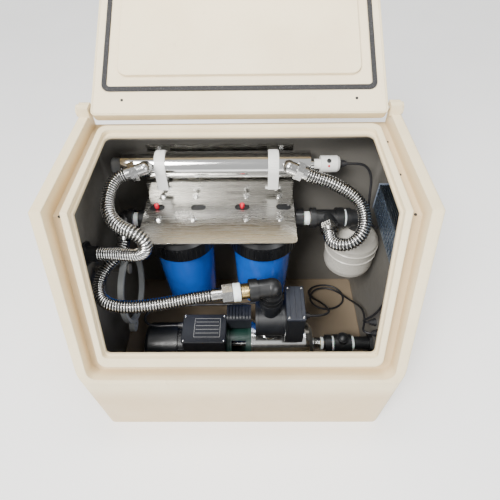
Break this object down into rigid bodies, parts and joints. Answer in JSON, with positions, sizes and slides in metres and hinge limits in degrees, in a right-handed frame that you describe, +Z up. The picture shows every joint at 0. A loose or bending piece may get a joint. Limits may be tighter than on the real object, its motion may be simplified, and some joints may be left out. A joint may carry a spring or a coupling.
{
  "type": "water treatment cabinet",
  "caption": "Moulded cabinet with a hinged lid holding a pump, a pair of filters on a steel bracket, an ultraviolet chamber and a pressure tank joined by corrugated hoses.",
  "frame": {"origin": "centre of the cabinet's base, on the floor", "axes": "+X to the cabinet's right seen from the front, +Y to the back, +Z up"},
  "size_m": [0.784, 0.795, 1.2519],
  "materials": {
    "cabinet": "cream moulded polyethylene, fine orange-peel grain",
    "lid": "cream moulded polyethylene, fine orange-peel grain",
    "liner": "smooth moulded liner",
    "gasket": "foamed sealing strip",
    "pin_steel": "turned",
    "sheet_steel": "brushed stainless sheet",
    "bolt_steel": "zinc plated",
    "black_cap": "moulded, satin",
    "blue_sump": "moulded, glossy",
    "seal": "moulded",
    "filter_media": "pleated fleece",
    "red_button": "moulded",
    "brass": "machined thread",
    "wrench_grey": "moulded",
    "nut_steel": "nickel plated",
    "black_fitting": "moulded pipe fitting",
    "tank_paint": "powder coated",
    "hose_steel": "corrugated stainless",
    "bulkhead_black": "moulded",
    "uv_steel": "polished stainless",
    "grey_plug": "moulded",
    "quartz": "clear",
    "lamp_glass": "clear",
    "white_cap": "moulded",
    "white_strap": "moulded, ribbed",
    "motor_paint": "satin",
    "copper_core": "varnished",
    "bearing_steel": "ground",
    "shaft_steel": "ground",
    "fan_plastic": "moulded",
    "bracket_green": "cast, painted",
    "barrel_steel": "polished stainless",
    "impeller_plastic": "moulded",
    "box_grey": "moulded",
    "control_dark": "moulded",
    "control_grey": "moulded",
    "gland_black": "moulded",
    "ballast_alu": "anodised, ribbed",
    "ballast_cap": "moulded",
    "cable_black": "smooth sheath"
  },
  "bodies": {
    "cabinet": {"cabinet_tub": "cabinet", "hinge_pins": "pin_steel", "filter_bracket": "sheet_steel", "bracket_bolts": "bolt_steel", "filter_cap_left": "black_cap", "filter_cap_right": "black_cap", "filter_sump_left": "blue_sump", "filter_sump_right": "blue_sump", "sump_seals": "seal", "filter_cartridge_left": "filter_media", "filter_cartridge_right": "filter_media", "link_nipples": "brass", "filter_wrench": "wrench_grey", "hose_nuts": "nut_steel", "filter_inlet_elbow": "black_fitting", "outlet_tee": "black_fitting", "tank_elbow": "black_fitting", "pressure_tank": "tank_paint", "pump_hose": "hose_steel", "outlet_hose": "hose_steel", "uv_feed_hose": "hose_steel", "bulkheads": "bulkhead_black", "uv_chamber": "uv_steel", "uv_end_plug": "grey_plug", "quartz_sleeve": "quartz", "uv_lamp": "lamp_glass", "lamp_cap": "white_cap", "uv_straps": "white_strap", "uv_port_elbows": "nut_steel", "motor_housing": "motor_paint", "stator": "copper_core", "shaft_bearings": "bearing_steel", "fan_cover": "motor_paint", "motor_bracket": "bracket_green", "bracket_shroud": "box_grey", "pump_barrel": "barrel_steel", "pump_foot": "motor_paint", "terminal_box": "box_grey", "terminal_box_lid": "box_grey", "controller_drum": "control_dark", "controller_box": "control_dark", "controller_lid": "control_grey", "controller_elbow": "black_fitting", "suction_valve": "black_fitting", "suction_pipe": "black_fitting", "cable_glands": "gland_black", "ballast_case": "ballast_alu", "ballast_end_caps": "ballast_cap", "lamp_cable": "cable_black", "ballast_cable": "cable_black", "mains_cable": "cable_black", "motor_cable": "cable_black"},
    "lid": {"lid_shell": "lid", "lid_liner": "liner", "lid_gasket": "gasket"},
    "pump_rotor": {"rotor_shaft": "shaft_steel", "motor_fan": "fan_plastic", "impellers": "impeller_plastic"},
    "relief_button_left": {"relief_button_left": "red_button"},
    "relief_button_right": {"relief_button_right": "red_button"}
  },
  "joints": [
    {"name": "lid_hinge", "type": "hinge", "parent": "cabinet", "child": "lid", "pos_m": [0, 0.234, 0.682], "axis": [1, 0, 0], "range_deg": [0, 150]},
    {"name": "rotor_spin", "type": "hinge", "parent": "cabinet", "child": "pump_rotor", "pos_m": [0, -0.059, 0.1], "axis": [1, 0, 0], "continuous": true},
    {"name": "relief_left", "type": "slide", "parent": "cabinet", "child": "relief_button_left", "axis": [0, 0, -1], "range_m": [0, 0.003], "stiffness_N_per_m": 600, "springref_m": -0.002},
    {"name": "relief_right", "type": "slide", "parent": "cabinet", "child": "relief_button_right", "axis": [0, 0, -1], "range_m": [0, 0.003], "stiffness_N_per_m": 600, "springref_m": -0.002}
  ]
}
